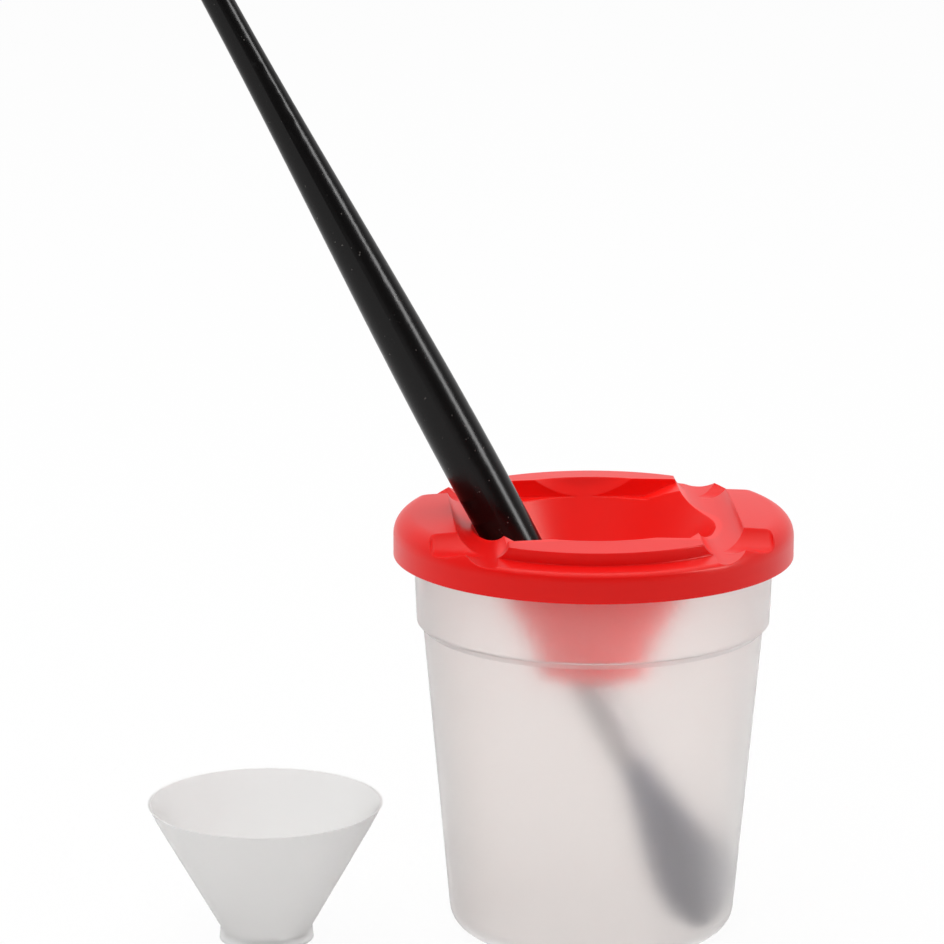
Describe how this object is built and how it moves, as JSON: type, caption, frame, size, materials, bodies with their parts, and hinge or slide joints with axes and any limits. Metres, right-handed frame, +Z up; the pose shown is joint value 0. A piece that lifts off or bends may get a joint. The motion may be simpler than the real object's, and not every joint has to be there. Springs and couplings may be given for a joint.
{
  "type": "non-spill paint pot",
  "caption": "Frosted cup with a snap-fit funnel lid that holds a leaning brush, and a loose conical stopper for the funnel.",
  "frame": {"origin": "centre of the cup's base, on the surface it stands on", "axes": "+Z up; the lid's two brush rests run along Y; the brush leans towards -X, where the stopper stands"},
  "size_m": [0.1302, 0.08, 0.1923],
  "materials": {
    "frosted_plastic": "translucent frosted polypropylene",
    "red_plastic": "semi-gloss moulded polypropylene",
    "milky_plastic": "thin translucent polypropylene",
    "black_lacquer": "glossy black lacquer on wood",
    "ferrule_metal": "bright drawn metal",
    "dark_bristle": "dark natural bristle"
  },
  "bodies": {
    "pot": {"cup": "frosted_plastic"},
    "lid": {"lid": "red_plastic"},
    "brush": {"brush_handle": "black_lacquer", "brush_ferrule": "ferrule_metal", "brush_bristles": "dark_bristle"},
    "stopper": {"stopper": "milky_plastic"}
  },
  "joints": [
    {"name": "lid_lift", "type": "slide", "parent": "pot", "child": "lid", "axis": [0, 0, 1], "range_m": [0, 0.1]},
    {"name": "brush_draw", "type": "slide", "parent": "lid", "child": "brush", "axis": [-0.4674, 0.0294, 0.8836], "range_m": [0, 0.11]},
    {"name": "stopper_lift", "type": "slide", "parent": "pot", "child": "stopper", "axis": [0, 0, 1], "range_m": [0, 0.06]}
  ]
}
